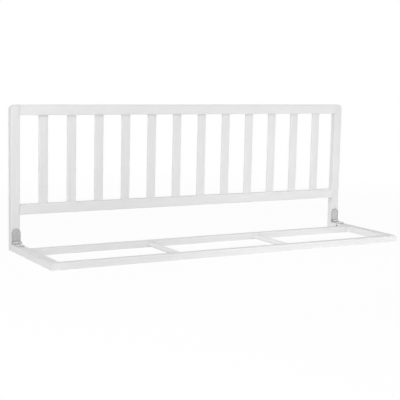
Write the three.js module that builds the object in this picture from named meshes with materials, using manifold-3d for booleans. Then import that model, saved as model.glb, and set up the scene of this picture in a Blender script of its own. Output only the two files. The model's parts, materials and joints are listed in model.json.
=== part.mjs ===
// Folding bed guard rail: a slatted panel hinged to a flat frame that lies under the mattress.
// Millimetres, +Z up. X runs along the bed. The panel stands at the back, towards +Y, and the frame lies in
// front of it. The origin is on the floor, at the middle of the outline.

import * as THREE from 'three';
import { mergeVertices } from 'three/addons/utils/BufferGeometryUtils.js';
import Module from 'manifold-3d';

const wasm = await Module();
wasm.setup();

// Overall size
const overallWidth = 1200;
const overallHeight = 430;
const overallDepth = 338;

// Fits and finish shared by all pieces
const seatGap = 0.3; // between a piece and what it rests on or sits in
const overrun = 1; // how far a cut runs past the face that it opens
const boreEndGap = 0.5; // left free at the bottom of a blind bore or mortise
const edgeEase = 2; // rounding of every long wooden edge

// Panel
const postWidth = 28;
const postThickness = 22;
const postCornerRadius = 14; // the rounded outer corner at the top
const railHeight = 30;
const bottomRailUnderside = 107; // height of the open window under the panel
const slatCount = 12;
const slatWidth = 28;
const slatThickness = 8;
const slatTenon = 10; // how deep each slat end is housed in its rail
const panelDowelDiameter = 8;
const panelDowelLength = 32;
const panelDowelSpacing = 16;

// Base frame
const baseHeight = 20;
const sideRailWidth = 30;
const longRailThickness = 20; // front to back, of the front rail and the back rail
const backRailSetback = 76; // from the panel's face to the back rail
const crossBarDiameter = 15;
const crossBarSocket = 10; // how deep each cross bar end sits in its rail
const baseDowelDiameter = 6;
const baseDowelLength = 28;
const baseDowelSpacing = 9;

// Hinges
const leafWidth = 27;
const leafLength = 42; // from the pin's axis to the round tip
const leafThickness = 2;
const leafRimHeight = 1.7; // of the pressed rim, above the leaf's free face
const leafRimWidth = 1.6;
const barrelRadius = 4.7;
const pinDiameter = 5;
const pinHeadDiameter = 8;
const pinHeadHeight = 3.2;
const pinRivetHeight = 0.9; // the peened end, on the outer side
const firstScrewFromAxis = 13;
const secondScrewFromAxis = 30;

// Fasteners
const woodScrewDiameter = 3.5;
const woodScrewHead = 6.6;
const woodScrewLength = 16;
const woodScrewPoint = 5;
const machineScrewDiameter = 4;
const machineScrewHead = 7.4;
const machineScrewLength = 16;
const machineScrewChamfer = 0.6;
const recessWidth = 0.9; // one arm of the cross in a screw head
const recessDepth = 1.2;
const barrelNutDiameter = 7;
const barrelNutLength = 20;
const barrelNutRecess = 1; // how far its end lies inside the rail's inner face
const barrelNutHeight = 12.5; // of its axis above the floor
const nutSlotWidth = 1.2;
const nutSlotDepth = 1;

// Facets
const easeSegments = 2; // per curve, which gives twice as many steps on each rounded edge
const cornerSegments = 5;
const roundSides = 24;
const barrelSides = 32;
const bevelSteps = 3;

// Places that follow from the sizes
const panelFront = overallDepth / 2 - postThickness;
const panelMiddleY = overallDepth / 2 - postThickness / 2;
const frameFront = -overallDepth / 2;
const postX = (overallWidth - postWidth) / 2;
const sideRailX = (overallWidth - sideRailWidth) / 2;
const panelRailLength = overallWidth - 2 * postWidth - 2 * seatGap;
const topRailZ = overallHeight - railHeight / 2;
const bottomRailZ = bottomRailUnderside + railHeight / 2;
const windowBetweenRails = topRailZ - bottomRailZ - railHeight;
const slatGap = (overallWidth - 2 * postWidth - slatCount * slatWidth) / (slatCount + 1);
const slatPitch = slatWidth + slatGap;
const longRailLength = overallWidth - 2 * sideRailWidth - 2 * seatGap;
const sideRailLength = panelFront - seatGap - frameFront;
const sideRailY = frameFront + sideRailLength / 2;
const backRailY = panelFront - backRailSetback - longRailThickness / 2;
const frontRailY = frameFront + longRailThickness / 2;
const crossBarX = (overallWidth - 2 * sideRailWidth) / 6;
const crossBarY = (frontRailY + backRailY) / 2;
const hingeX = sideRailX;
const hingeY = panelFront - seatGap - barrelRadius;
const hingeZ = baseHeight + seatGap + barrelRadius;
const knuckleLength = (leafWidth - 2 * seatGap) / 3;
const leafTipRadius = leafWidth / 2;
const nutOffset = (sideRailWidth - barrelNutLength) / 2 - barrelNutRecess; // from the rail's middle

// Turns a closed geometry into a solid that can be cut and joined.
function solid(geometry) {
  const bare = geometry.clone();
  bare.deleteAttribute('normal');
  bare.deleteAttribute('uv');
  const merged = mergeVertices(bare);
  const corners = merged.index.array;
  const kept = [];
  for (let i = 0; i < corners.length; i += 3) {
    const [a, b, c] = corners.slice(i, i + 3);
    if (a !== b && b !== c && c !== a) {
      kept.push(a, b, c);
    }
  }
  return new wasm.Manifold(new wasm.Mesh({
    numProp: 3,
    vertProperties: new Float32Array(merged.attributes.position.array),
    triVerts: new Uint32Array(kept),
  }));
}

// Turns a solid back into a geometry.
function geometryOf(body) {
  const mesh = body.getMesh();
  const geometry = new THREE.BufferGeometry();
  geometry.setAttribute('position', new THREE.BufferAttribute(new Float32Array(mesh.vertProperties), 3));
  geometry.setIndex(new THREE.BufferAttribute(new Uint32Array(mesh.triVerts), 1));
  geometry.computeVertexNormals();
  return geometry;
}

// The body with every tool cut away, all of them geometries.
function cut(body, tools) {
  let result = solid(body);
  for (const tool of tools) {
    result = result.subtract(solid(tool));
  }
  return geometryOf(result);
}

// A rectangle with rounded corners, centred on the origin.
function roundedRectangle(width, height, radius) {
  const x = width / 2 - radius;
  const y = height / 2 - radius;
  const quarter = Math.PI / 2;
  const shape = new THREE.Shape();
  shape.moveTo(-x, -y - radius);
  shape.lineTo(x, -y - radius);
  shape.absarc(x, -y, radius, -quarter, 0, false);
  shape.absarc(x, y, radius, 0, quarter, false);
  shape.absarc(-x, y, radius, quarter, 2 * quarter, false);
  shape.absarc(-x, -y, radius, 2 * quarter, 3 * quarter, false);
  return shape;
}

// A straight piece of wood along Z, centred on the origin, with its long edges eased.
function easedStick(sizeX, sizeY, length) {
  const shape = roundedRectangle(sizeX, sizeY, edgeEase);
  const geometry = new THREE.ExtrudeGeometry(shape, {
    depth: length,
    bevelEnabled: false,
    curveSegments: easeSegments,
  });
  return geometry.translate(0, 0, -length / 2);
}

// The same along X: the first size is front to back, the second is the height.
function easedStickAlongX(sizeY, sizeZ, length) {
  return easedStick(sizeZ, sizeY, length).rotateY(Math.PI / 2);
}

// The same along Y: the first size is the width, the second is the height.
function easedStickAlongY(sizeX, sizeZ, length) {
  return easedStick(sizeX, sizeZ, length).rotateX(Math.PI / 2);
}

// A round rod along one axis, with its middle at a place.
function rod(axis, radius, length, place, sides = roundSides) {
  const geometry = new THREE.CylinderGeometry(radius, radius, length, sides);
  if (axis === 'x') {
    geometry.rotateZ(Math.PI / 2);
  }
  if (axis === 'z') {
    geometry.rotateX(Math.PI / 2);
  }
  return geometry.translate(...place);
}

function box(sizes, place) {
  return new THREE.BoxGeometry(...sizes).translate(...place);
}

// A blind bore for a dowel that runs along X and crosses the plane x = face, where material lies towards inward.
function dowelBore(diameter, dowelLength, face, inward, y, z) {
  const depth = dowelLength / 2 + boreEndGap;
  const length = depth + overrun;
  return rod('x', diameter / 2 + seatGap, length, [face + inward * (length / 2 - overrun), y, z]);
}

// Heights of two dowels about the middle of the rail that they hold.
function dowelPair(spacing) {
  return [-spacing / 2, spacing / 2];
}

// Panel pieces

// A post stands on the floor line. Its local origin is at the middle of its foot, and outward is its outer side.
function post(outward) {
  const halfWidth = postWidth / 2;
  const cornerX = halfWidth - postCornerRadius;
  const cornerZ = overallHeight - postCornerRadius;
  const outline = new THREE.Shape();
  outline.moveTo(-halfWidth, 0);
  outline.lineTo(halfWidth, 0);
  outline.lineTo(halfWidth, cornerZ);
  outline.absarc(cornerX, cornerZ, postCornerRadius, 0, Math.PI / 2, false);
  outline.lineTo(-halfWidth, overallHeight);
  outline.closePath();
  const body = new THREE.ExtrudeGeometry(outline, {
    depth: postThickness - 2 * edgeEase,
    bevelThickness: edgeEase,
    bevelSize: edgeEase,
    bevelOffset: -edgeEase,
    bevelSegments: bevelSteps,
    curveSegments: cornerSegments,
  });
  body.rotateX(Math.PI / 2);
  body.translate(0, postThickness / 2 - edgeEase, 0);
  if (outward < 0) {
    body.rotateZ(Math.PI);
  }
  const tools = [];
  for (const railZ of [bottomRailZ, topRailZ]) {
    for (const offset of dowelPair(panelDowelSpacing)) {
      const face = -outward * halfWidth;
      tools.push(dowelBore(panelDowelDiameter, panelDowelLength, face, outward, 0, railZ + offset));
    }
  }
  const pilotDepth = woodScrewLength - leafThickness + boreEndGap;
  const pilotLength = pilotDepth + overrun;
  const pilotX = outward * (hingeX - postX);
  const pilotY = -postThickness / 2 - overrun + pilotLength / 2;
  for (const fromAxis of [firstScrewFromAxis, secondScrewFromAxis]) {
    const place = [pilotX, pilotY, hingeZ + fromAxis];
    tools.push(rod('y', woodScrewDiameter / 2 + seatGap, pilotLength, place));
  }
  return cut(body, tools);
}

// X of the middle of each slat.
function slatPlaces() {
  const first = -overallWidth / 2 + postWidth + slatGap + slatWidth / 2;
  return Array.from({ length: slatCount }, (_, index) => first + index * slatPitch);
}

// A rail between the posts, with a mortise for each slat on its upper or lower side.
function panelRail(mortiseSide) {
  const body = easedStickAlongX(postThickness, railHeight, panelRailLength);
  const mortiseDepth = slatTenon + boreEndGap;
  const mortiseHeight = mortiseDepth + overrun;
  const mortiseZ = mortiseSide * (railHeight / 2 + overrun - mortiseHeight / 2);
  const mortiseSizes = [slatWidth + 2 * seatGap, slatThickness + 2 * seatGap, mortiseHeight];
  const tools = slatPlaces().map((x) => box(mortiseSizes, [x, 0, mortiseZ]));
  for (const end of [-1, 1]) {
    for (const offset of dowelPair(panelDowelSpacing)) {
      const face = end * panelRailLength / 2;
      tools.push(dowelBore(panelDowelDiameter, panelDowelLength, face, -end, 0, offset));
    }
  }
  return cut(body, tools);
}

function slat() {
  return easedStick(slatWidth, slatThickness, windowBetweenRails + 2 * slatTenon);
}

// The middle of each dowel between a post and a rail.
function panelDowelPlaces() {
  const places = [];
  for (const end of [-1, 1]) {
    for (const railZ of [bottomRailZ, topRailZ]) {
      for (const offset of dowelPair(panelDowelSpacing)) {
        places.push([end * (overallWidth / 2 - postWidth), panelMiddleY, railZ + offset]);
      }
    }
  }
  return places;
}

// Base frame pieces

// A side rail, centred on the origin. Its inner face is on the side that inward points to.
function sideRail(inward) {
  const body = easedStickAlongY(sideRailWidth, baseHeight, sideRailLength);
  const innerFace = inward * sideRailWidth / 2;
  const tools = [];
  for (const railY of [backRailY, frontRailY]) {
    for (const offset of dowelPair(baseDowelSpacing)) {
      const place = [innerFace, -inward, railY - sideRailY, offset];
      tools.push(dowelBore(baseDowelDiameter, baseDowelLength, ...place));
    }
  }
  const top = baseHeight / 2;
  const pilotLength = woodScrewLength - leafThickness + boreEndGap + overrun;
  const pilotPlace = [0, hingeY - firstScrewFromAxis - sideRailY, top + overrun - pilotLength / 2];
  tools.push(rod('z', woodScrewDiameter / 2 + seatGap, pilotLength, pilotPlace));
  const screwY = hingeY - secondScrewFromAxis - sideRailY;
  const boltLength = machineScrewLength - leafThickness + boreEndGap + overrun;
  const boltPlace = [0, screwY, top + overrun - boltLength / 2];
  tools.push(rod('z', machineScrewDiameter / 2 + seatGap, boltLength, boltPlace));
  const nutBoreLength = barrelNutRecess + barrelNutLength + boreEndGap + overrun;
  const nutBoreX = innerFace - inward * (nutBoreLength / 2 - overrun);
  const nutZ = barrelNutHeight - baseHeight / 2;
  tools.push(rod('x', barrelNutDiameter / 2 + seatGap, nutBoreLength, [nutBoreX, screwY, nutZ]));
  return cut(body, tools);
}

// A rail between the side rails, with a socket for each cross bar on the side that socketSide points to.
function longRail(socketSide) {
  const body = easedStickAlongX(longRailThickness, baseHeight, longRailLength);
  const socketLength = crossBarSocket + boreEndGap + overrun;
  const socketY = socketSide * (longRailThickness / 2 + overrun - socketLength / 2);
  const tools = [];
  for (const end of [-1, 1]) {
    tools.push(rod('y', crossBarDiameter / 2 + seatGap, socketLength, [end * crossBarX, socketY, 0]));
    for (const offset of dowelPair(baseDowelSpacing)) {
      const face = end * longRailLength / 2;
      tools.push(dowelBore(baseDowelDiameter, baseDowelLength, face, -end, 0, offset));
    }
  }
  return cut(body, tools);
}

function crossBar() {
  const open = backRailY - frontRailY - longRailThickness;
  return rod('y', crossBarDiameter / 2, open + 2 * crossBarSocket, [0, 0, 0]);
}

// The middle of each dowel between a side rail and a long rail.
function baseDowelPlaces() {
  const places = [];
  for (const end of [-1, 1]) {
    for (const railY of [backRailY, frontRailY]) {
      for (const offset of dowelPair(baseDowelSpacing)) {
        places.push([end * (overallWidth / 2 - sideRailWidth), railY, baseHeight / 2 + offset]);
      }
    }
  }
  return places;
}

// Hinge pieces. In a leaf's own frame the pin runs along X, the leaf runs from the pin towards +Y, and the
// wood lies below it, towards -Z.

// A countersink and its clearance hole, whose screw head is flush with the leaf's free face.
function screwHole(diameter, headDiameter, fromAxis) {
  const free = leafThickness - barrelRadius;
  const r = diameter / 2 + seatGap;
  const headRadius = headDiameter / 2 + seatGap;
  const cone = headRadius - r;
  const points = [
    [0, free - leafThickness - overrun],
    [r, free - leafThickness - overrun],
    [r, free - cone],
    [headRadius, free],
    [headRadius, free + overrun],
    [0, free + overrun],
  ].map(([x, y]) => new THREE.Vector2(x, y));
  return new THREE.LatheGeometry(points, roundSides).rotateX(Math.PI / 2).translate(0, fromAxis, 0);
}

// A flat strip with a round tip, from the plane y = start to the tip, and inset from the leaf's outline.
function leafStrip(start, inset, low, thickness) {
  const tipY = leafLength - leafTipRadius;
  const halfWidth = leafWidth / 2 - inset;
  const outline = new THREE.Shape();
  outline.moveTo(-halfWidth, start);
  outline.lineTo(halfWidth, start);
  outline.lineTo(halfWidth, tipY);
  outline.absarc(0, tipY, leafTipRadius - inset, 0, Math.PI, false);
  outline.closePath();
  const strip = new THREE.ExtrudeGeometry(outline, {
    depth: thickness,
    bevelEnabled: false,
    curveSegments: cornerSegments * 2,
  });
  return strip.translate(0, 0, low);
}

// A hinge leaf: a plate with a round tip and a raised rim, whose knuckles wrap the pin. The width has room
// for three knuckles, and knuckles lists this leaf's own by place, from -1 to 1.
function leaf(knuckles, holes) {
  const free = leafThickness - barrelRadius;
  const plate = solid(leafStrip(0, 0, -barrelRadius, leafThickness + leafRimHeight));
  let body = plate.subtract(solid(leafStrip(-overrun, leafRimWidth, free, leafRimHeight + overrun)));
  const clearLength = barrelRadius + seatGap;
  for (const third of [-1, 0, 1]) {
    const x = third * (knuckleLength + seatGap);
    if (knuckles.includes(third)) {
      body = body.add(solid(rod('x', barrelRadius, knuckleLength, [x, 0, 0], barrelSides)));
    } else {
      const edge = third === 0 ? 2 * seatGap : seatGap + overrun;
      const shift = third * (overrun - seatGap) / 2;
      const sizes = [knuckleLength + edge, clearLength + overrun, 2 * barrelRadius + overrun];
      body = body.subtract(solid(box(sizes, [x + shift, (clearLength - overrun) / 2, 0])));
    }
  }
  body = body.subtract(solid(rod('x', pinDiameter / 2 + seatGap, leafWidth + 2 * overrun, [0, 0, 0])));
  for (const hole of holes) {
    body = body.subtract(solid(screwHole(...hole)));
  }
  return geometryOf(body);
}

// The pin, with a domed head on the side that headSide points to and a low rivet on the other.
function hingePin(headSide) {
  const r = pinDiameter / 2;
  const headRadius = pinHeadDiameter / 2;
  const half = leafWidth / 2 + seatGap;
  const dome = Array.from({ length: cornerSegments }, (_, step) => {
    const angle = (step / cornerSegments) * (Math.PI / 2);
    return [headRadius * Math.cos(angle), half + pinHeadHeight * Math.sin(angle)];
  });
  const points = [
    [0, -half - pinRivetHeight],
    [r, -half - pinRivetHeight],
    [headRadius, -half],
    [r, -half],
    [r, half],
    ...dome,
    [0, half + pinHeadHeight],
  ].map(([x, y]) => new THREE.Vector2(x, y));
  return new THREE.LatheGeometry(points, roundSides).rotateZ(-headSide * Math.PI / 2);
}

// A countersunk screw along -Z, its head's top at the origin, with a cross recess.
function countersunkScrew(diameter, headDiameter, length, pointLength, pointRadius) {
  const r = diameter / 2;
  const headRadius = headDiameter / 2;
  const points = [
    [0, -length],
    [pointRadius, -length],
    [r, pointLength - length],
    [r, r - headRadius],
    [headRadius, 0],
    [0, 0],
  ].map(([x, y]) => new THREE.Vector2(x, y));
  const body = new THREE.LatheGeometry(points, roundSides).rotateX(Math.PI / 2);
  const arm = diameter;
  const depth = recessDepth + overrun;
  const z = overrun - depth / 2;
  return cut(body, [box([arm, recessWidth, depth], [0, 0, z]), box([recessWidth, arm, depth], [0, 0, z])]);
}

function woodScrew() {
  return countersunkScrew(woodScrewDiameter, woodScrewHead, woodScrewLength, woodScrewPoint, recessWidth / 2);
}

function machineScrew() {
  const diameter = machineScrewDiameter;
  const chamfer = machineScrewChamfer;
  return countersunkScrew(diameter, machineScrewHead, machineScrewLength, chamfer, diameter / 2 - chamfer);
}

// The nut lies along X. The slot for turning it is in the end that slotSide points to, and its thread is
// nearer the other end, in line with the hinge's screws.
function barrelNut(slotSide) {
  const body = rod('x', barrelNutDiameter / 2, barrelNutLength, [0, 0, 0]);
  const threadPlace = [-slotSide * nutOffset, 0, 0];
  const thread = rod('z', machineScrewDiameter / 2 + seatGap, barrelNutDiameter + overrun, threadPlace);
  const slotLength = nutSlotDepth + overrun;
  const slotX = slotSide * (barrelNutLength / 2 + overrun - slotLength / 2);
  const slot = box([slotLength, barrelNutDiameter + overrun, nutSlotWidth], [slotX, 0, 0]);
  return cut(body, [thread, slot]);
}

// Materials
const paint = new THREE.MeshStandardMaterial({ color: 0xf1f1ef, roughness: 0.42, metalness: 0 });
const beech = new THREE.MeshStandardMaterial({ color: 0xd8b98d, roughness: 0.7, metalness: 0 });
const zincSteel = new THREE.MeshStandardMaterial({ color: 0xb4b7ba, roughness: 0.32, metalness: 1 });
const pinSteel = new THREE.MeshStandardMaterial({ color: 0x9a9da1, roughness: 0.28, metalness: 1 });
const screwSteel = new THREE.MeshStandardMaterial({ color: 0xc4c6c8, roughness: 0.3, metalness: 1 });
const blackSteel = new THREE.MeshStandardMaterial({ color: 0x2c2d2f, roughness: 0.5, metalness: 1 });

// Assembly
const guardRail = new THREE.Group();
const sides = [
  { name: 'left', sign: -1 },
  { name: 'right', sign: 1 },
];

// Adds one named piece to a group, at a place in that group.
function add(group, name, geometry, material, place = [0, 0, 0]) {
  const mesh = new THREE.Mesh(geometry, material.clone());
  mesh.name = name;
  mesh.position.set(...place);
  group.add(mesh);
  return mesh;
}

for (const { name, sign } of sides) {
  add(guardRail, `${name}_post`, post(sign), paint, [sign * postX, panelMiddleY, 0]);
}
add(guardRail, 'top_rail', panelRail(-1), paint, [0, panelMiddleY, topRailZ]);
add(guardRail, 'bottom_rail', panelRail(1), paint, [0, panelMiddleY, bottomRailZ]);
slatPlaces().forEach((x, index) => {
  const number = String(index + 1).padStart(2, '0');
  add(guardRail, `slat_${number}`, slat(), paint, [x, panelMiddleY, (topRailZ + bottomRailZ) / 2]);
});
panelDowelPlaces().forEach((place, index) => {
  const dowel = rod('x', panelDowelDiameter / 2, panelDowelLength, [0, 0, 0]);
  add(guardRail, `panel_dowel_${index + 1}`, dowel, beech, place);
});

for (const { name, sign } of sides) {
  add(guardRail, `${name}_side_rail`, sideRail(-sign), paint, [sign * sideRailX, sideRailY, baseHeight / 2]);
  add(guardRail, `${name}_cross_bar`, crossBar(), paint, [sign * crossBarX, crossBarY, baseHeight / 2]);
}
add(guardRail, 'front_rail', longRail(1), paint, [0, frontRailY, baseHeight / 2]);
add(guardRail, 'back_rail', longRail(-1), paint, [0, backRailY, baseHeight / 2]);
baseDowelPlaces().forEach((place, index) => {
  const dowel = rod('x', baseDowelDiameter / 2, baseDowelLength, [0, 0, 0]);
  add(guardRail, `base_dowel_${index + 1}`, dowel, beech, place);
});

for (const { name, sign } of sides) {
  const hinge = new THREE.Group();
  hinge.position.set(sign * hingeX, hingeY, hingeZ);
  guardRail.add(hinge);
  add(hinge, `${name}_hinge_pin`, hingePin(-sign), pinSteel);

  // The post leaf stands up against the post, and the base leaf lies forward on the side rail.
  const woodHoles = [firstScrewFromAxis, secondScrewFromAxis].map((v) => [woodScrewDiameter, woodScrewHead, v]);
  const postLeafGroup = new THREE.Group();
  postLeafGroup.rotation.x = Math.PI / 2;
  hinge.add(postLeafGroup);
  add(postLeafGroup, `${name}_post_leaf`, leaf([-1, 1], woodHoles), zincSteel);
  const baseLeafGroup = new THREE.Group();
  baseLeafGroup.rotation.z = Math.PI;
  hinge.add(baseLeafGroup);
  const baseHoles = [woodHoles[0], [machineScrewDiameter, machineScrewHead, secondScrewFromAxis]];
  add(baseLeafGroup, `${name}_base_leaf`, leaf([0], baseHoles), zincSteel);

  const headZ = leafThickness - barrelRadius;
  add(postLeafGroup, `${name}_post_screw_lower`, woodScrew(), screwSteel, [0, firstScrewFromAxis, headZ]);
  add(postLeafGroup, `${name}_post_screw_upper`, woodScrew(), screwSteel, [0, secondScrewFromAxis, headZ]);
  add(baseLeafGroup, `${name}_base_screw`, woodScrew(), screwSteel, [0, firstScrewFromAxis, headZ]);
  add(baseLeafGroup, `${name}_machine_screw`, machineScrew(), screwSteel, [0, secondScrewFromAxis, headZ]);
  const nutPlace = [sign * (hingeX - nutOffset), hingeY - secondScrewFromAxis, barrelNutHeight];
  add(guardRail, `${name}_barrel_nut`, barrelNut(-sign), blackSteel, nutPlace);
}

export default guardRail;
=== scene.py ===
# %% [markdown]
# A folding bed guard rail, dressed for its picture. The guard is a white slatted panel, hinged at its feet
# to a flat frame that slides under a mattress. They stay where they are, and every fine piece made below
# takes its place and size from one of them, so the picture and the measured parts can't drift apart.
# %% Load the measured parts
import json
import math

import bmesh
import bpy
from mathutils import Matrix, Vector

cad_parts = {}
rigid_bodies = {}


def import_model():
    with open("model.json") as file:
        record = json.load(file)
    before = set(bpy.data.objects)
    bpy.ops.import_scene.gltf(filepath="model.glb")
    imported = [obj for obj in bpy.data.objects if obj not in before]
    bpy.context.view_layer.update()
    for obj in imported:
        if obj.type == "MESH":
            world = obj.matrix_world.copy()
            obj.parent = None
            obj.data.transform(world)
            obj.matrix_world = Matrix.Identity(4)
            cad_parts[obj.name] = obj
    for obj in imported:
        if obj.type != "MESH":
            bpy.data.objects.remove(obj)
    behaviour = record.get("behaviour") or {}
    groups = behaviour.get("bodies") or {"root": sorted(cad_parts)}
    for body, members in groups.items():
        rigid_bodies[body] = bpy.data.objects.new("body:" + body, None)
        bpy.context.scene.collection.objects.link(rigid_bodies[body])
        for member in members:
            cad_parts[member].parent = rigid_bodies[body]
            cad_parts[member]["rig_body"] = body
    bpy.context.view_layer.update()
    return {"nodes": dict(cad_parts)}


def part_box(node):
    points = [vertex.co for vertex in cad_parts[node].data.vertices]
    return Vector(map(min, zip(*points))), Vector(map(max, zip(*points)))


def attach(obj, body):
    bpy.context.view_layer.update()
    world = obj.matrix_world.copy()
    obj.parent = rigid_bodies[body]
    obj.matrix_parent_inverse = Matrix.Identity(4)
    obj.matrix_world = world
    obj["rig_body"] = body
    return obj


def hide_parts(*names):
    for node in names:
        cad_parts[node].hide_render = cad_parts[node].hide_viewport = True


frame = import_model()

MM = 0.001
scene = bpy.context.scene

# %% [markdown]
# The camera stands where the photographer stood: to the left of the guard, a little above its top rail. Its
# place and angles came from lining up the straight edges of the guard, which is a good way to find a camera
# for any object with long straight edges. Yaw turns it towards the right, pitch tips it down, and roll is
# the slight lean of the horizon. The lens is a short telephoto, so the long rails converge only gently.
# %% Set up the camera
CAMERA_PLACE = Vector((-1614.0, -2709.5, 558.7)) * MM
CAMERA_YAW, CAMERA_PITCH, CAMERA_ROLL = (math.radians(angle) for angle in (30.057, 7.522, -1.289))
FOCAL_LENGTH_PX, PICTURE_WIDTH_PX, SENSOR_MM = 1028.0, 400, 36.0

forward = Vector((
    math.sin(CAMERA_YAW) * math.cos(CAMERA_PITCH),
    math.cos(CAMERA_YAW) * math.cos(CAMERA_PITCH),
    -math.sin(CAMERA_PITCH),
))
level_right = Vector((math.cos(CAMERA_YAW), -math.sin(CAMERA_YAW), 0))
level_down = forward.cross(level_right)
right = math.cos(CAMERA_ROLL) * level_right + math.sin(CAMERA_ROLL) * level_down
down = math.cos(CAMERA_ROLL) * level_down - math.sin(CAMERA_ROLL) * level_right

camera_data = bpy.data.cameras.new("camera")
camera_data.sensor_width = SENSOR_MM
camera_data.lens = FOCAL_LENGTH_PX / PICTURE_WIDTH_PX * SENSOR_MM
camera = bpy.data.objects.new("camera", camera_data)
camera_turn = Matrix((right, -down, -forward)).transposed().to_4x4()
camera.matrix_world = Matrix.Translation(CAMERA_PLACE) @ camera_turn
scene.collection.objects.link(camera)
scene.camera = camera
print("lens in mm:", round(camera_data.lens, 1))

# %% [markdown]
# Shader helpers. A paint chart gives colours as sRGB hex values, but a shader works in linear light, so one
# function turns the first into the second. Another adds one node to a tree, with its settings and its
# links. The rest are the few patterns and mixes that the materials share, which keeps each material below
# short enough to read in one go.
# %% Colours and nodes
AXES = {"x": 0, "y": 1, "z": 2}


def linear(hex_colour):
    """#rrggbb as four linear channels, by the sRGB curve: straight near black and a power above."""
    channels = []
    for start in (1, 3, 5):
        level = int(hex_colour[start:start + 2], 16) / 255
        channels.append(level / 12.92 if level <= 0.04045 else ((level + 0.055) / 1.055) ** 2.4)
    return channels + [1.0]


def node(tree, kind, inputs=None, **settings):
    """Adds a node. Each input, by name or number, is a plain value or another node's output."""
    made = tree.nodes.new(kind)
    for name, value in settings.items():
        setattr(made, name, value)
    for name, value in (inputs or {}).items():
        if isinstance(value, bpy.types.NodeSocket):
            tree.links.new(value, made.inputs[name])
        else:
            made.inputs[name].default_value = value
    return made


def blank_material(name):
    """A material with an empty node tree."""
    material = bpy.data.materials.new(name)
    material.use_nodes = True
    material.node_tree.nodes.clear()
    return material, material.node_tree


def noise(tree, axis, along, across, detail=2.0, roughness=0.5):
    """A noise pattern of spots `along` metres long on one axis and `across` metres wide on the others."""
    scale = [1 / across] * 3
    scale[AXES[axis]] = 1 / along
    place = node(tree, "ShaderNodeTexCoord").outputs["Object"]
    stretched = node(tree, "ShaderNodeMapping", {"Vector": place, "Scale": scale}).outputs["Vector"]
    return node(tree, "ShaderNodeTexNoise", {
        "Vector": stretched, "Scale": 1.0, "Detail": detail, "Roughness": roughness,
    }).outputs["Fac"]


def arithmetic(tree, operation, *values):
    """One sum with plain values or other nodes' outputs."""
    return node(tree, "ShaderNodeMath", dict(enumerate(values)), operation=operation).outputs[0]


def ranged(tree, value, before=(0.0, 1.0), after=(0.0, 1.0)):
    """A value moved from one range into another, and kept inside it."""
    limits = {"From Min": before[0], "From Max": before[1], "To Min": after[0], "To Max": after[1]}
    return node(tree, "ShaderNodeMapRange", {"Value": value, **limits}).outputs["Result"]


def mixed_colour(tree, share, first, second):
    """The first colour where the share is 0 and the second where it's 1. They are inputs 6 and 7."""
    return node(tree, "ShaderNodeMix", {0: share, 6: first, 7: second}, data_type="RGBA").outputs[2]


def relief(tree, height, strength, distance, under=None):
    """The surface normals of a bump pattern, on top of other normals where they are given."""
    inputs = {"Height": height, "Strength": strength, "Distance": distance}
    if under is not None:
        inputs["Normal"] = under
    return node(tree, "ShaderNodeBump", inputs).outputs["Normal"]


def surface(tree, colour, roughness, normal, others):
    """Ends a material's tree with a principled shader."""
    inputs = {"Base Color": colour, "Roughness": roughness, "Normal": normal, **others}
    shader = node(tree, "ShaderNodeBsdfPrincipled", inputs).outputs[0]
    node(tree, "ShaderNodeOutputMaterial", {"Surface": shader})


print("mid grey in linear light:", [round(level, 3) for level in linear("#808080")])

# %% [markdown]
# White lacquer on solid beech. The wood and the kind of paint are guesses, because the photograph shows only
# white. Furniture like this often has a water-based acrylic lacquer, sprayed in two coats on sanded bars and
# rubbed down between them. It is satin, so highlights are broad and soft. Three things keep it from looking
# like plastic: the grain of the wood still stands a little under the film, along the bar; the spray leaves a
# fine orange peel; and the film is thinner on the rounded edges, where a rub shows first. Each bar has its
# own grain direction, so the material is made once for each axis. In the photograph the slats are a little
# greyer than the bars, so they get a slightly greyer white of their own.
# The pores of beech are under 0.1 mm wide, which is far too fine for this picture, so the grain is drawn
# 3 mm wide.
# %% White satin lacquer
LACQUER_WHITE, LACQUER_SHADE, LACQUER_THIN = "#efefef", "#ececec", "#f5f5f4"
SLAT_WHITE, SLAT_SHADE = "#ececec", "#e8e8e8"
GRAIN_LENGTH, GRAIN_WIDTH = 160 * MM, 3 * MM
PEEL_SIZE = 1.6 * MM
CLOUD_LENGTH, CLOUD_WIDTH = 270 * MM, 90 * MM
SHADE_TO_WHITE = (0.12, 0.42)  # grain times cloud, where the colour turns from shade to white
SATIN = (0.44, 0.54)  # roughness
RUBBED_GLOSS = -0.06  # change of roughness on a rubbed edge
GRAIN_RELIEF, PEEL_RELIEF = 0.08 * MM, 0.03 * MM
LACQUER_GLOSS = {"IOR": 1.49, "Specular IOR Level": 0.3}


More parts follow.
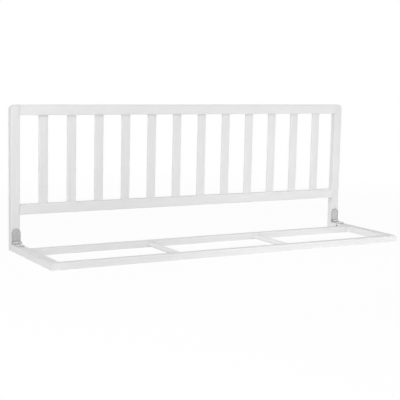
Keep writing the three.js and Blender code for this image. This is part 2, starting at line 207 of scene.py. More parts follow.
def white_lacquer(axis, kind="bar", white=LACQUER_WHITE, shade=LACQUER_SHADE):
    """Satin white lacquer over wood whose grain runs along the axis."""
    material, tree = blank_material(f"white_satin_lacquer_{kind}_grain_{axis}")
    grain = noise(tree, axis, GRAIN_LENGTH, GRAIN_WIDTH, detail=5.0, roughness=0.62)
    peel = noise(tree, axis, PEEL_SIZE, PEEL_SIZE)
    cloud = noise(tree, axis, CLOUD_LENGTH, CLOUD_WIDTH)

    # Colour: the film is a touch deeper where the spray lay thicker, and along the grain.
    depth = ranged(tree, arithmetic(tree, "MULTIPLY", grain, cloud), before=SHADE_TO_WHITE)
    tone = mixed_colour(tree, depth, linear(shade), linear(white))
    edge = node(tree, "ShaderNodeAttribute", attribute_name="edge").outputs["Fac"]
    rubbed = arithmetic(tree, "MULTIPLY", edge, grain)
    colour = mixed_colour(tree, rubbed, tone, linear(LACQUER_THIN))

    # Surface: satin, a little glossier on rubbed edges, with the orange peel in its roughness too.
    satin = ranged(tree, peel, after=SATIN)
    roughness = arithmetic(tree, "MULTIPLY_ADD", edge, RUBBED_GLOSS, satin)
    under = relief(tree, grain, strength=0.25, distance=GRAIN_RELIEF)
    skin = relief(tree, peel, strength=0.3, distance=PEEL_RELIEF, under=under)
    surface(tree, colour, roughness, skin, LACQUER_GLOSS)
    return material


LACQUER = {axis: white_lacquer(axis) for axis in AXES}
SLAT_LACQUER = white_lacquer("z", "slat", SLAT_WHITE, SLAT_SHADE)
print("lacquer made for grain along:", ", ".join(LACQUER))

# %% [markdown]
# Bare beech. It shows inside the bores, which are drilled after spraying, and on the dowels. Beech is pale
# pink-brown with short darker flecks, the rays, that lie along the grain. A stretched noise gives the growth
# bands and a second, shorter one gives the flecks.
# %% Bare beech
BEECH_PALE, BEECH_DARK, BEECH_FLECK = "#dfc29a", "#c9a377", "#a77d53"
BAND_LENGTH, BAND_WIDTH = 120 * MM, 2.2 * MM
FLECK_LENGTH, FLECK_WIDTH = 3.0 * MM, 0.5 * MM
FLECK_EDGE = (0.6, 0.72)  # noise level where a fleck starts and where it is full
PLANED = (0.62, 0.78)  # roughness
BAND_RELIEF = 0.15 * MM


def bare_beech(axis):
    """Planed, unfinished beech with its grain along the axis."""
    material, tree = blank_material(f"bare_beech_grain_{axis}")
    bands = noise(tree, axis, BAND_LENGTH, BAND_WIDTH, detail=6.0, roughness=0.6)
    flecks = ranged(tree, noise(tree, axis, FLECK_LENGTH, FLECK_WIDTH, detail=1.0), before=FLECK_EDGE)
    wood = mixed_colour(tree, bands, linear(BEECH_PALE), linear(BEECH_DARK))
    colour = mixed_colour(tree, flecks, wood, linear(BEECH_FLECK))
    roughness = ranged(tree, bands, after=PLANED)
    planed = relief(tree, bands, strength=0.5, distance=BAND_RELIEF)
    surface(tree, colour, roughness, planed, {"IOR": 1.5})
    return material


BEECH = {axis: bare_beech(axis) for axis in AXES}
print("beech made for grain along:", ", ".join(BEECH))

# %% [markdown]
# Steel. Hinge leaves like these are stamped from zinc-plated sheet, pins are drawn rod and screws are
# cold-headed. Bright zinc is a pale, nearly neutral grey. The sheet keeps faint streaks from rolling, along
# the leaf, and a barely cloudy plating; drawn and headed steel is smoother. The barrel nuts are turned and
# blackened, which is a thin layer of black iron oxide that keeps a little oil. A metal keeps the shader's
# own IOR, and its look comes from colour, roughness and what it reflects.
# %% Zinc-plated and blackened steel
STREAK_LENGTHS = 60  # times its width
PLATING_CLOUD = 5 * MM
CLOUD_SHARE = 0.4  # of the blend of streaks and cloud that sets the roughness
STREAK_RELIEF = 0.02 * MM


def finished_steel(name, pale, dark, axis, streak, low, high):
    """Steel with streaks `streak` metres wide along the axis and a roughness between low and high."""
    material, tree = blank_material(name)
    lines = noise(tree, axis, STREAK_LENGTHS * streak, streak, detail=3.0, roughness=0.6)
    cloud = noise(tree, axis, PLATING_CLOUD, PLATING_CLOUD, detail=3.0)
    colour = mixed_colour(tree, cloud, linear(dark), linear(pale))
    blend = node(tree, "ShaderNodeMix", {0: CLOUD_SHARE, 2: lines, 3: cloud}).outputs[0]
    roughness = ranged(tree, blend, after=(low, high))
    streaked = relief(tree, lines, strength=0.3, distance=STREAK_RELIEF)
    surface(tree, colour, roughness, streaked, {"Metallic": 1.0})
    return material


# Each has a pale and a dark colour, the axis and width of its streaks, and its lowest and highest roughness.
LEAF_UP = finished_steel("zinc_plated_sheet_upright", "#d2d2d3", "#c3c3c4", "z", 0.5 * MM, 0.28, 0.46)
# The flat leaf is the same zinc as the upright one, painted paler as painted light for the light its lying
# sheet catches.
LEAF_FLAT_PAINTED_LIGHT = finished_steel("zinc_plated_sheet_flat_painted_light", "#f1f1f2", "#e6e6e7", "y", 0.5 * MM, 0.4, 0.56)
# The rims are painted darker than the sheet: painted shade along each leaf's outline.
RIM_UP_PAINTED_SHADE = finished_steel("zinc_plated_rim_upright_painted_shade", "#bcbcbd", "#adadae", "y", 0.5 * MM, 0.34, 0.5)
RIM_FLAT_PAINTED_SHADE = finished_steel("zinc_plated_rim_flat_painted_shade", "#d1d1d2", "#c3c3c4", "y", 0.5 * MM, 0.34, 0.5)
KNUCKLE_UP = finished_steel("zinc_plated_outer_knuckle", "#d1d1d2", "#c2c2c3", "x", 0.4 * MM, 0.2, 0.34)
# The middle knuckle is painted paler than the outer ones, as painted light.
KNUCKLE_FLAT_PAINTED_LIGHT = finished_steel("zinc_plated_middle_knuckle_painted_light", "#dedede", "#cfcfd0", "x", 0.4 * MM, 0.2, 0.34)
PIN_STEEL = finished_steel("drawn_pin_steel", "#b3b3b4", "#99999b", "x", 0.3 * MM, 0.22, 0.36)
SCREW_STEEL = finished_steel("cold_headed_screw_steel", "#dadadb", "#c6c6c7", "x", 0.4 * MM, 0.2, 0.34)
NUT_STEEL = finished_steel("black_oxide_nut_steel", "#2c2d2f", "#1c1c1e", "x", 0.4 * MM, 0.4, 0.55)
UPRIGHT_LEAF, FLAT_LEAF = [RIM_UP_PAINTED_SHADE, LEAF_UP, KNUCKLE_UP], [RIM_FLAT_PAINTED_SHADE, LEAF_FLAT_PAINTED_LIGHT, KNUCKLE_FLAT_PAINTED_LIGHT]
METALS = UPRIGHT_LEAF + FLAT_LEAF + [PIN_STEEL, SCREW_STEEL, NUT_STEEL]
print("metals made:", ", ".join(metal.name for metal in METALS))

# %% [markdown]
# Mesh helpers. Each fine piece is a bmesh, Blender's editable mesh, built in place in the guard's own frame.
# A bar of wood is a box whose long edges are rounded by a router and whose ends are only broken with
# sandpaper. Flat sheet and turned rod get helpers of their own. Holes are cut with the Boolean modifier, as
# a drill would, and the cutter's faces keep a second material, so a bore shows bare wood. A cutter always
# runs a little past the face that it opens.
# %% Shapes
LONG_EDGE, END_EDGE, TIGHT_EDGE = 2 * MM, 0.5 * MM, 0.1 * MM
LONG_EDGE_STEPS, END_EDGE_STEPS = 5, 2
ROUND_SIDES = 40
CLEARANCE, BORE_END, OVERRUN = 0.3 * MM, 0.5 * MM, 1 * MM
SAME_PLACE, WELD = 0.03 * MM, 0.002 * MM
MATERIAL_ROOM = 3  # a hinge leaf has the most materials


def rise(edge, number):
    """How far an edge runs along one axis."""
    return abs(edge.verts[0].co[number] - edge.verts[1].co[number])


def lies_at(edge, number, place):
    """Whether both ends of an edge are at one place along an axis."""
    return all(abs(corner.co[number] - place) < SAME_PLACE for corner in edge.verts)


def round_off(shape, edges, radius, steps):
    """Rounds some of a shape's edges."""
    bmesh.ops.bevel(shape, geom=edges, offset=radius, segments=steps, profile=0.5, affect="EDGES")


def bar(low, high, axis, long_edge=LONG_EDGE, end_edge=END_EDGE):
    """A bar between two corners: edges along the axis are rounded, and the ends are broken."""
    shape = bmesh.new()
    size = high - low
    place = Matrix.Translation((low + high) / 2) @ Matrix.Diagonal(size.to_4d())
    bmesh.ops.create_cube(shape, size=1, matrix=place)
    number = AXES[axis]
    along = [edge for edge in shape.edges if rise(edge, number) > size[number] / 2]
    round_off(shape, along, long_edge, LONG_EDGE_STEPS)
    for end in (low[number], high[number]):
        rim = [edge for edge in shape.edges if lies_at(edge, number, end)]
        round_off(shape, rim, end_edge, END_EDGE_STEPS)
    return shape


def slab(outline, thickness, place, rounding=0.0, steps=LONG_EDGE_STEPS):
    """A flat sheet in X and Y, from Z 0 up, with both rims rounded if asked, then moved by place."""
    shape = bmesh.new()
    face = shape.faces.new([shape.verts.new((x, y, 0)) for x, y in outline])
    raised = bmesh.ops.extrude_face_region(shape, geom=[face])["geom"]
    upper = [item for item in raised if isinstance(item, bmesh.types.BMVert)]
    bmesh.ops.translate(shape, verts=upper, vec=(0, 0, thickness))
    if rounding:
        rims = [edge for edge in shape.edges if rise(edge, AXES["z"]) < thickness / 2]
        round_off(shape, rims, rounding, steps)
    bmesh.ops.transform(shape, matrix=place, verts=shape.verts)
    bmesh.ops.recalc_face_normals(shape, faces=shape.faces)
    return shape


def turned(profile, sides=ROUND_SIDES, place=Matrix.Identity(4)):
    """A closed solid turned about Z from a profile of (radius, height) that starts and ends on the axis."""
    shape = bmesh.new()
    rings = []
    for radius, height in profile:
        if radius == 0:
            rings.append([shape.verts.new((0, 0, height))] * sides)
        else:
            angles = (2 * math.pi * side / sides for side in range(sides))
            around = [(radius * math.cos(angle), radius * math.sin(angle), height) for angle in angles]
            rings.append([shape.verts.new(point) for point in around])
    for lower, upper in zip(rings, rings[1:]):
        for side in range(sides):
            after = (side + 1) % sides
            corners = dict.fromkeys((lower[side], lower[after], upper[after], upper[side]))
            if len(corners) > 2:
                shape.faces.new(corners)
    bmesh.ops.transform(shape, matrix=place, verts=shape.verts)
    bmesh.ops.recalc_face_normals(shape, faces=shape.faces)
    return shape


TURN_TO = {
    "x": Matrix.Rotation(math.pi / 2, 4, "Y"),
    "y": Matrix.Rotation(-math.pi / 2, 4, "X"),
    "z": Matrix.Identity(4),
}


def rod(axis, radius, length, middle, sides=ROUND_SIDES, chamfer=0.0):
    """A round rod along an axis, with its ends chamfered if asked."""
    half = length / 2
    if chamfer:
        profile = [(0, -half), (radius - chamfer, -half), (radius, chamfer - half)]
        profile += [(radius, half - chamfer), (radius - chamfer, half), (0, half)]
    else:
        profile = [(0, -half), (radius, -half), (radius, half), (0, half)]
    return turned(profile, sides, Matrix.Translation(middle) @ TURN_TO[axis])


def as_object(shape, name):
    """An object from a bmesh, which is used up, in triangles and with room for its materials."""
    bmesh.ops.triangulate(shape, faces=shape.faces)
    mesh = bpy.data.meshes.new(name)
    shape.to_mesh(mesh)
    shape.free()
    for slot in range(MATERIAL_ROOM):
        mesh.materials.append(None)
    made = bpy.data.objects.new(name, mesh)
    scene.collection.objects.link(made)
    return made


def discard(spent):
    """Removes an object and its mesh."""
    mesh = spent.data
    bpy.data.objects.remove(spent)
    bpy.data.meshes.remove(mesh)


def combined(shape, tools, operation="DIFFERENCE", tool_material=1):
    """Cuts the tools from a shape, or joins them to it, with one exact Boolean each."""
    work = as_object(shape, "work")
    for tool in tools:
        for face in tool.faces:
            face.material_index = tool_material
        cutter = as_object(tool, "cutter")
        boolean = work.modifiers.new("boolean", "BOOLEAN")
        boolean.operation, boolean.solver, boolean.object = operation, "EXACT", cutter
        evaluated = work.evaluated_get(bpy.context.evaluated_depsgraph_get())
        changed = bpy.data.meshes.new_from_object(evaluated)
        work.modifiers.clear()
        unchanged = work.data
        work.data = changed
        bpy.data.meshes.remove(unchanged)
        discard(cutter)
    result = bmesh.new()
    result.from_mesh(work.data)
    discard(work)
    bmesh.ops.remove_doubles(result, verts=result.verts, dist=WELD)
    bmesh.ops.dissolve_degenerate(result, edges=result.edges, dist=WELD)
    return result


print("long edges are rounded to", round(LONG_EDGE / MM, 1), "mm")

# %% [markdown]
# Every fine piece stands for one measured part: it gets that part's body, so it moves with it, and hides it.
# Smooth shading with weighted normals keeps the wide faces flat and rolls the light only round the narrow
# edges, which is what a real router cut does. The edge attribute marks those rounded edges for the lacquer.
# %% Turn a shape into a piece
SMOOTH_BELOW = math.radians(50)
ON_A_FACE = 0.05 * MM
made_pieces = []


def mark_edges(mesh, low, high, reach=LONG_EDGE):
    """Writes about 0.7 on vertices in the middle of a rounded edge, falling to 0 on the flat faces."""
    edge = mesh.attributes.new("edge", "FLOAT", "POINT")
    for vertex, mark in zip(mesh.vertices, edge.data):
        second = sorted(min(pair) for pair in zip(vertex.co - low, high - vertex.co))[1]
        mark.value = max(0.0, 1 - second / reach) if second > ON_A_FACE else 0.0


def finish_piece(shape, measured, materials):
    """Makes the piece that stands for one measured part, from a bmesh."""
    mesh = bpy.data.meshes.new(measured + "_fine")
    shape.to_mesh(mesh)
    shape.free()
    for material in materials:
        mesh.materials.append(material)
    mesh.shade_smooth()
    mesh.set_sharp_from_angle(angle=SMOOTH_BELOW)
    mark_edges(mesh, *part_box(measured))
    piece = bpy.data.objects.new(measured + "_fine", mesh)
    scene.collection.objects.link(piece)
    normals = piece.modifiers.new("weighted normals", "WEIGHTED_NORMAL")
    normals.keep_sharp = True
    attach(piece, frame["nodes"][measured]["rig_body"])
    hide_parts(measured)
    made_pieces.append(piece)
    return piece


def middle_and_size(measured):
    """The middle and the size of a measured part's box."""
    low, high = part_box(measured)
    return (low + high) / 2, high - low


def touching(measured, names):
    """Those of the named parts whose boxes overlap one part's box."""
    low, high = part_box(measured)
    near = []
    for name in names:
        other_low, other_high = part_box(name)
        if all(other_low[axis] < high[axis] and other_high[axis] > low[axis] for axis in range(3)):
            near.append(name)
    return near


# %% [markdown]
# Bores and mortises. Each dowel, tenon, cross bar, screw and nut gets its hole from its own measured box,
# made a little wider and deeper, just as a joiner drills to suit the dowel in hand.
# %% Cutters for the joints
DOWELS = [name for name in frame["nodes"] if "dowel" in name]
SLATS = sorted(name for name in frame["nodes"] if name.startswith("slat_"))
CROSS_BARS = ["left_cross_bar", "right_cross_bar"]
SCREWS = [name for name in frame["nodes"] if name.endswith(("_screw", "_lower", "_upper"))]
SHANK = {"wood": 3.5 * MM, "machine": 4 * MM}
BORE_SIDES, SCREW_BORE_SIDES = 32, 24


def round_bore(measured, axis):
    """A cutter for a dowel or bar that runs along an axis."""
    middle, size = middle_and_size(measured)
    number = AXES[axis]
    radius = size[(number + 1) % 3] / 2 + CLEARANCE
    return rod(axis, radius, size[number] + 2 * BORE_END, middle, BORE_SIDES)


def square_bore(measured):
    """A cutter for a slat's tenon."""
    low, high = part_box(measured)
    room = Vector((CLEARANCE, CLEARANCE, BORE_END))
    return bar(low - room, high + room, "z", end_edge=TIGHT_EDGE)


def screw_kind(measured):
    """Whether a measured screw is a wood screw or a machine screw."""
    return "machine" if "machine" in measured else "wood"


def screw_bore(measured):
    """A cutter for a screw, as wide as its shank. The screw runs along its box's longest side."""
    middle, size = middle_and_size(measured)
    axis = max(AXES, key=lambda name: size[AXES[name]])
    radius = SHANK[screw_kind(measured)] / 2 + CLEARANCE
    return rod(axis, radius, size[AXES[axis]] + 2 * BORE_END, middle, SCREW_BORE_SIDES)


def nut_bore(measured, inner_face):
    """A cutter for a barrel nut, from the inner face of the side rail to just past the nut."""
    middle, size = middle_and_size(measured)
    inward = 1 if inner_face > middle.x else -1
    ends = (inner_face + inward * OVERRUN, middle.x - inward * (size.x / 2 + BORE_END))
    centre = Vector((sum(ends) / 2, middle.y, middle.z))
    return rod("x", size.y / 2 + CLEARANCE, abs(ends[0] - ends[1]), centre)


print(len(DOWELS), "dowels,", len(SLATS), "slats,", len(SCREWS), "screws to bore for")

# %% [markdown]
# The panel. Two posts stand on the floor line and carry the hinges. Each post's outer top corner is rounded
# to a 14 mm radius, so nobody knocks against a point, and all its long edges are eased. The rails are
# doweled between the posts, and the slats' ends are housed in the rails, 7 mm behind the posts' front face.
# %% Posts
POST_CORNER, POST_CORNER_STEPS = 14 * MM, 12
FOOT_CORNER, FOOT_CORNER_STEPS = 1.2 * MM, 4


def arc(centre, radius, start, end, steps):
    """Points on an arc between two angles, in degrees."""
    points = []
    for step in range(steps + 1):
        angle = math.radians(start + (end - start) * step / steps)
        points.append((centre[0] + radius * math.cos(angle), centre[1] + radius * math.sin(angle)))
    return points


for side, outward in (("left", -1), ("right", 1)):
    measured = f"{side}_post"
    low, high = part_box(measured)
    middle, size = middle_and_size(measured)
    half = size.x / 2
    top_centre = (half - POST_CORNER, size.z - POST_CORNER)
    outline = arc((FOOT_CORNER - half, FOOT_CORNER), FOOT_CORNER, 180, 270, FOOT_CORNER_STEPS)
    outline += arc((half - FOOT_CORNER, FOOT_CORNER), FOOT_CORNER, 270, 360, FOOT_CORNER_STEPS)
    outline += arc(top_centre, POST_CORNER, 0, 90, POST_CORNER_STEPS)
    outline += [(-half, size.z)]
    outline = [(middle.x + outward * x, z) for x, z in outline]
    upright = Matrix.Translation((0, high.y, 0)) @ Matrix.Rotation(math.pi / 2, 4, "X")
    post = slab(outline, size.y, upright, LONG_EDGE)
    tools = [round_bore(name, "x") for name in touching(measured, DOWELS)]
    tools += [screw_bore(name) for name in touching(measured, SCREWS)]
    piece = finish_piece(combined(post, tools), measured, [LACQUER["z"], BEECH["z"]])
    print(piece.name, "has", len(piece.data.polygons), "faces")

# %% [markdown]
# Rails and slats. A rail is one bar with a row of mortises, and a slat is a thin bar that stands in them.
# %% Rails and slats of the panel
for measured in ("top_rail", "bottom_rail"):
    tools = [round_bore(name, "x") for name in touching(measured, DOWELS)]
    tools += [square_bore(name) for name in SLATS]
    rail = combined(bar(*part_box(measured), "x"), tools)
    finish_piece(rail, measured, [LACQUER["x"], BEECH["x"]])
for measured in SLATS:
    finish_piece(bar(*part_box(measured), "z"), measured, [SLAT_LACQUER])
print("panel bars:", len(made_pieces))

# %% [markdown]
# The frame under the mattress. The side rails run right through to the front, and the long rails are doweled
# between them, so the frame's front corners show the ends of the side rails. Two round bars stiffen it, and
# the hinge screws go into the tops of the side rails. The far screw is a machine screw that ends in a
# blackened barrel nut, which shows on the rail's inner face as a small dark disc. The long rails are pulled
# up tight when they are glued, so their joints close to a hairline.
# %% Rails and bars of the frame
PULLED_UP = Vector((0.27 * MM, 0, 0))
CROSS_BAR_SIDES, CROSS_BAR_CHAMFER = 48, 1 * MM
for side, inward in (("left", 1), ("right", -1)):
    measured = f"{side}_side_rail"
    low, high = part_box(measured)
    tools = [round_bore(name, "x") for name in touching(measured, DOWELS)]
    tools += [screw_bore(name) for name in touching(measured, SCREWS)]
    tools += [nut_bore(f"{side}_barrel_nut", high.x if inward > 0 else low.x)]
    rail = combined(bar(low, high, "y"), tools)
    finish_piece(rail, measured, [LACQUER["y"], BEECH["y"]])
for measured in ("front_rail", "back_rail"):
    tools = [round_bore(name, "x") for name in touching(measured, DOWELS)]
    tools += [round_bore(name, "y") for name in CROSS_BARS]
    low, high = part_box(measured)
    rail = combined(bar(low - PULLED_UP, high + PULLED_UP, "x", end_edge=TIGHT_EDGE), tools)
    finish_piece(rail, measured, [LACQUER["x"], BEECH["x"]])
for measured in CROSS_BARS:
    middle, size = middle_and_size(measured)
    round_bar = rod("y", size.x / 2, size.y, middle, CROSS_BAR_SIDES, CROSS_BAR_CHAMFER)
    finish_piece(round_bar, measured, [LACQUER["y"]])
print("bars so far:", len(made_pieces))

# %% [markdown]
# The hinges. A leaf is a strip of 2 mm sheet with a round tip and a pressed rim that stiffens it, and its
# knuckles are curled from the same sheet round the pin, so each knuckle ends in a thin seam beside the leaf.
# The curl is drawn as a section and pulled along the pin. The upright leaf has the two outer knuckles and
# the flat leaf the middle one. The upright leaf has a dark outline in the photograph, so the rims of both
# leaves get a darker steel colour than the sheet, which is painted shade.
# %% Hinge leaves
LEAF_WIDTH, LEAF_LENGTH, LEAF_SHEET = 27 * MM, 42 * MM, 2 * MM
LEAF_TIP_STEPS = 32
BARREL, PIN = 4.7 * MM, 2.5 * MM  # radii of the knuckles and of the pin
KNUCKLE = (LEAF_WIDTH - 2 * CLEARANCE) / 3
CURL_END = -22  # degrees
CURL_TAIL = 3 * MM
CURL_STEPS, CURL_TAIL_STEPS = 40, 6
RIM_WIDTH, RIM_HEIGHT = 1.6 * MM, 1.7 * MM
RIM_ROUND, RIM_FILLET, RIM_STEPS = 0.7 * MM, 0.5 * MM, 4
HEAD_CLEARANCE = 0.1 * MM
SCREW_PLACES = (13 * MM, 30 * MM)
SCREW_HEAD = {"wood": 6.6 * MM, "machine": 7.4 * MM}


def curl(x):
    """One knuckle, centred at x, with a tail that runs into the leaf."""
    bore = PIN + CLEARANCE
    tail = BARREL + CURL_TAIL
    section = [(tail, -BARREL), (0, -BARREL)]
    section += arc((0, 0), BARREL, 270, CURL_END, CURL_STEPS)[1:]
    section += arc((0, 0), bore, CURL_END, 270, CURL_STEPS)
    inner = math.degrees(math.asin((LEAF_SHEET - BARREL) / bore))
    section += arc((0, 0), bore, 270, 360 + inner, CURL_TAIL_STEPS)[1:]
    section += [(tail, LEAF_SHEET - BARREL)]
    stand = Matrix(((0, 0, 1, 0), (1, 0, 0, 0), (0, 1, 0, 0), (0, 0, 0, 1)))
    return slab(section, KNUCKLE, Matrix.Translation((x - KNUCKLE / 2, 0, 0)) @ stand)


def countersink(kind, from_axis):
    """A cutter for one screw: a clearance hole and a cone for the head."""
    top = LEAF_SHEET - BARREL
    hole = SHANK[kind] / 2 + CLEARANCE
    head = SCREW_HEAD[kind] / 2 + HEAD_CLEARANCE
    profile = [(0, top - 2 * LEAF_SHEET), (hole, top - 2 * LEAF_SHEET), (hole, top + hole - head)]
    profile += [(head, top), (head + OVERRUN, top + OVERRUN), (0, top + OVERRUN)]
    return turned(profile, place=Matrix.Translation((0, from_axis, 0)))


def leaf_strip(start, inset, low, thickness, rounding):
    """A flat strip with a round tip, inset from the leaf's outline, with its rims rounded."""
    half, tip = LEAF_WIDTH / 2 - inset, LEAF_LENGTH - LEAF_WIDTH / 2
    outline = [(-half, start), (half, start), *arc((0, tip), half, 0, 180, LEAF_TIP_STEPS)]
    return slab(outline, thickness, Matrix.Translation((0, 0, low)), rounding, RIM_STEPS)


def hinge_leaf(knuckles, kinds):
    """A leaf in its own frame: the pin runs along X, the leaf towards +Y, and the wood lies below."""
    plate = leaf_strip(BARREL + CLEARANCE, 0, -BARREL, LEAF_SHEET + RIM_HEIGHT, RIM_ROUND)
    tray = leaf_strip(0, RIM_WIDTH, LEAF_SHEET - BARREL, RIM_HEIGHT + OVERRUN, RIM_FILLET)
    curls = [curl(third * (KNUCKLE + CLEARANCE)) for third in knuckles]
    leaf = combined(combined(plate, [tray]), curls, "UNION", tool_material=2)
    return combined(leaf, [countersink(kind, place) for kind, place in zip(kinds, SCREW_PLACES)])


for side in ("left", "right"):
    middle = middle_and_size(f"{side}_post_leaf")[0]
    pin_middle = middle_and_size(f"{side}_hinge_pin")[0]
    axis_place = Matrix.Translation((middle.x, pin_middle.y, pin_middle.z))
    stand, lie = Matrix.Rotation(math.pi / 2, 4, "X"), Matrix.Rotation(math.pi, 4, "Z")
    for name, knuckles, kinds, turn, steels in (
        ("post_leaf", [-1, 1], ("wood", "wood"), stand, UPRIGHT_LEAF),
        ("base_leaf", [0], ("wood", "machine"), lie, FLAT_LEAF),
    ):
        leaf = hinge_leaf(knuckles, kinds)
        bmesh.ops.transform(leaf, matrix=axis_place @ turn, verts=leaf.verts)
        piece = finish_piece(leaf, f"{side}_{name}", steels)
        print(piece.name, "has", len(piece.data.polygons), "faces")

# %% [markdown]
# Pins. A pin is a rod with a domed head on the inner side, and it is peened over on the outer side, so that
# it can't slip out of the knuckles.
# %% Hinge pins
HEAD_RADIUS, HEAD_HEIGHT = 4 * MM, 3.2 * MM
HEAD_UNDERCUT = 0.2 * MM
DOME_START, DOME_STEPS = 4, 10  # degrees over the head's rim, and steps up to its top
PEEN_HEIGHT, PEEN_TIP_RADIUS = 0.9 * MM, PIN * 0.8
PEEN_SHOULDER = 0.85  # share of its height where the peened end is as wide as the pin
for side, head_side in (("left", 1), ("right", -1)):
    measured = f"{side}_hinge_pin"
    leaf_middle = middle_and_size(f"{side}_post_leaf")[0]
    pin_middle = middle_and_size(measured)[0]
    half = LEAF_WIDTH / 2 + CLEARANCE
    profile = [(0, -half - PEEN_HEIGHT), (PEEN_TIP_RADIUS, -half - PEEN_HEIGHT)]
    profile += [(PIN, -half - PEEN_HEIGHT * PEEN_SHOULDER), (HEAD_RADIUS, -half), (PIN, -half)]
    profile += [(PIN, half), (HEAD_RADIUS - HEAD_UNDERCUT, half)]
    dome = arc((0, 0), 1, DOME_START, 90, DOME_STEPS)[:-1]
    profile += [(HEAD_RADIUS * across, half + HEAD_HEIGHT * up) for across, up in dome]
    profile += [(0, half + HEAD_HEIGHT)]
    place = Matrix.Translation((leaf_middle.x, pin_middle.y, pin_middle.z))
    pin = turned(profile, place=place @ Matrix.Rotation(head_side * math.pi / 2, 4, "Y"))
    finish_piece(pin, measured, [PIN_STEEL])
print("pin heads are", HEAD_HEIGHT / MM, "mm high")

# %% [markdown]
# Screws and nuts. The screws are countersunk, so their heads lie flush with the leaf, with a cross recess
# that narrows towards its bottom. Each was driven until it was tight, so their recesses don't line up. A
# barrel nut is a short rod with a hole across it for the machine screw and a slot in its end, by which it is
# turned until the hole meets the screw.
# %% Screws and barrel nuts
RECESS_ARM, RECESS_DEPTH = 0.95 * MM, 1.6 * MM
RECESS_BOTTOM = 0.45  # share of its length at the top that one bar of the recess keeps at its bottom
RECESS_TAPER = 0.3  # share of its width that follows its length
HEAD_RIM = 0.15 * MM
POINT_LENGTH = {"wood": 5 * MM, "machine": 0.6 * MM}
POINT_RADIUS = {"wood": 0.45 * MM, "machine": 1.4 * MM}
FIRST_TURN, NEXT_TURN = 17, 29  # degrees, so that no two screws end up turned alike
NUT_CHAMFER = 0.2 * MM
NUT_FORWARD = 0.7 * MM  # the nut's end stands nearly flush, so its bare bore hardly shows
NUT_SLOT_HALF, NUT_SLOT_DEPTH = 0.6 * MM, 1 * MM
OUT_OF_WOOD = {"post": Matrix.Rotation(math.pi / 2, 4, "X"), "base": Matrix.Identity(4)}


def recess_wing(reach, turn):
    """One bar of the cross recess, narrowing downwards."""
    share_over_head = 1 + OVERRUN / RECESS_DEPTH * (1 - RECESS_BOTTOM)
    shape = bmesh.new()
    rings = []
    for height, share in ((-RECESS_DEPTH, RECESS_BOTTOM), (OVERRUN, share_over_head)):
        x, y = reach * share, RECESS_ARM / 2 * (1 - RECESS_TAPER + RECESS_TAPER * share)
        around = ((-x, -y), (x, -y), (x, y), (-x, y))
        rings.append([shape.verts.new((*corner, height)) for corner in around])
    below, above = rings
    shape.faces.new(below)
    shape.faces.new(above)
    for side in range(4):
        after = (side + 1) % 4
        shape.faces.new((below[side], below[after], above[after], above[side]))
    bmesh.ops.transform(shape, matrix=Matrix.Rotation(turn, 4, "Z"), verts=shape.verts)
    bmesh.ops.recalc_face_normals(shape, faces=shape.faces)
    return shape


def screw(kind, length):
    """A countersunk screw along -Z, with the top of its head at the origin."""
    shank, head = SHANK[kind] / 2, SCREW_HEAD[kind] / 2
    profile = [(0, -length), (POINT_RADIUS[kind], -length), (shank, POINT_LENGTH[kind] - length)]
    profile += [(shank, shank - head), (head, -HEAD_RIM), (head - HEAD_RIM, 0), (0, 0)]
    wings = [recess_wing(shank, turn) for turn in (0, math.pi / 2)]
    return combined(turned(profile), wings, tool_material=0)


for measured in SCREWS:
    low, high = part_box(measured)
    middle, size = middle_and_size(measured)
    upright = "post" in measured
    top = Vector((middle.x, low.y, middle.z)) if upright else Vector((middle.x, middle.y, high.z))
    shape = screw(screw_kind(measured), size.y if upright else size.z)
    driven = Matrix.Rotation(math.radians(FIRST_TURN + NEXT_TURN * len(made_pieces)), 4, "Z")
    place = Matrix.Translation(top) @ OUT_OF_WOOD["post" if upright else "base"] @ driven
    bmesh.ops.transform(shape, matrix=place, verts=shape.verts)
    finish_piece(shape, measured, [SCREW_STEEL])

for side, inward in (("left", 1), ("right", -1)):
    measured = f"{side}_barrel_nut"
    middle, size = middle_and_size(measured)
    nut_middle = middle + Vector((inward * NUT_FORWARD, 0, 0)) / 2
    nut = rod("x", size.y / 2, size.x + NUT_FORWARD, nut_middle, chamfer=NUT_CHAMFER)
    screw_middle = middle_and_size(f"{side}_machine_screw")[0]
    hole_middle = Vector((screw_middle.x, middle.y, middle.z))
    thread = rod("z", SHANK["machine"] / 2 + CLEARANCE, size.z + OVERRUN, hole_middle, BORE_SIDES)
    end = middle.x + inward * (size.x / 2 + NUT_FORWARD)
    slot_low = Vector((end - NUT_SLOT_DEPTH, middle.y - size.y, middle.z - NUT_SLOT_HALF))
    slot_high = Vector((end + NUT_SLOT_DEPTH, middle.y + size.y, middle.z + NUT_SLOT_HALF))
    slot = bar(slot_low, slot_high, "y", TIGHT_EDGE, TIGHT_EDGE)
    nut = combined(nut, [thread, slot], tool_material=0)
    finish_piece(nut, measured, [NUT_STEEL])
print("screws and nuts done:", len(made_pieces), "pieces in all")

# %% [markdown]
# The dowels are out of sight in their bores. They stay as the measured parts and only get their wood.
# %% Dowels
for name in DOWELS:
    frame["nodes"][name].data.materials.clear()
    frame["nodes"][name].data.materials.append(BEECH["x"])
print(len(DOWELS), "dowels in beech")

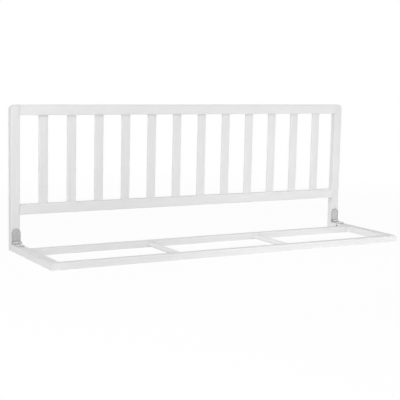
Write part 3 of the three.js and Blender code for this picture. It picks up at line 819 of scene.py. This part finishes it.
# %% [markdown]
# The studio. An even grey-white room gives a base of soft light. The main soft box hangs high on the left, so
# that each rail shades the wood under it. A large one beside the camera fills those shadows, and a small one
# lifts the right end. One stands in front with a honeycomb grid, which narrows its beam to the right third of
# the guard, so that the right side rail's inner face is as pale as its end. The last stands behind on the
# left and lights the guard's back and the right post's inner face. Only the two large ones in front show in
# the metal.
# The floor and the room look plain white to the camera and in reflections, through Light Path, but light the
# guard only with their own level. The floor keeps a little of its shading near the guard, so the guard's
# soft shadow stays on it.
# %% Floor, room and lamps
ROOM_LEVEL = 0.35
PLAIN_WHITE = linear("#ffffff")
FLOOR_SIZE = 14.0
FLOOR_DROP = 0.2 * MM
NEAR_SHARE = 0.95  # of plain white in the floor near the guard; further out it is all plain white
NEAR_RADIUS, FAR_RADIUS = 0.9, 2.4


def seen_directly(tree):
    """1 for camera, glossy and transmission rays, and 0 for the light that falls on the guard."""
    path = node(tree, "ShaderNodeLightPath").outputs
    either = arithmetic(tree, "MAXIMUM", path["Is Camera Ray"], path["Is Glossy Ray"])
    return arithmetic(tree, "MAXIMUM", either, path["Is Transmission Ray"])


floor_material, tree = blank_material("white_paper_floor")
paper = node(tree, "ShaderNodeBsdfDiffuse", {"Color": PLAIN_WHITE}).outputs[0]
glow = node(tree, "ShaderNodeEmission", {"Color": PLAIN_WHITE, "Strength": 1.0}).outputs[0]
place = node(tree, "ShaderNodeTexCoord").outputs["Object"]
radius = node(tree, "ShaderNodeVectorMath", {0: place}, operation="LENGTH").outputs["Value"]
fade = ranged(tree, radius, before=(NEAR_RADIUS, FAR_RADIUS), after=(NEAR_SHARE, 1.0))
share = arithmetic(tree, "MULTIPLY", seen_directly(tree), fade)
mixed = node(tree, "ShaderNodeMixShader", {0: share, 1: paper, 2: glow}).outputs[0]
node(tree, "ShaderNodeOutputMaterial", {"Surface": mixed})

floor_shape = bmesh.new()
bmesh.ops.create_grid(floor_shape, x_segments=1, y_segments=1, size=FLOOR_SIZE / 2)
floor_mesh = bpy.data.meshes.new("floor")
floor_shape.to_mesh(floor_mesh)
floor_shape.free()
floor_mesh.materials.append(floor_material)
floor = bpy.data.objects.new("floor", floor_mesh)
floor.location.z = -FLOOR_DROP
scene.collection.objects.link(floor)

world = bpy.data.worlds.new("white_room")
world.use_nodes = True
world.node_tree.nodes.clear()
tree = world.node_tree
level = node(tree, "ShaderNodeMix", {0: seen_directly(tree), 2: ROOM_LEVEL, 3: 1.0}).outputs[0]
background = node(tree, "ShaderNodeBackground", {"Color": PLAIN_WHITE, "Strength": level}).outputs[0]
node(tree, "ShaderNodeOutputWorld", {"Surface": background})
scene.world = world


def soft_box(name, power, size, place, target, spread=180, mirrored=True):
    """A square area lamp that faces a point and isn't seen itself. A grid narrows its spread, in degrees."""
    lamp = bpy.data.lights.new(name, "AREA")
    lamp.energy, lamp.size, lamp.spread = power, size, math.radians(spread)
    holder = bpy.data.objects.new(name, lamp)
    turn = (Vector(target) - Vector(place)).to_track_quat("-Z", "Y")
    holder.matrix_world = Matrix.Translation(place) @ turn.to_matrix().to_4x4()
    holder.visible_camera = False
    holder.visible_glossy = mirrored
    scene.collection.objects.link(holder)


GUARD, RIGHT_END, RIGHT_RAIL = (0, 0, 0.2), (0.6, 0, 0.1), (0.57, 0.05, 0)
soft_box("main", power=33, size=1.0, place=(-1.9, -1.5, 1.9), target=GUARD)
soft_box("fill", power=8.3, size=1.2, place=(-2.0, -2.6, 0.7), target=GUARD)
soft_box("right end", power=3.7, size=0.6, place=(1.1, -1.1, 0.3), target=RIGHT_END, mirrored=False)
soft_box("gridded", power=0.33, size=0.5, place=(-0.6, -0.9, 0.5), target=RIGHT_RAIL,
         spread=50, mirrored=False)
soft_box("behind", power=12, size=1.2, place=(-0.6, 2.6, 0.5), target=GUARD, mirrored=False)
scene.view_settings.view_transform = "Standard"
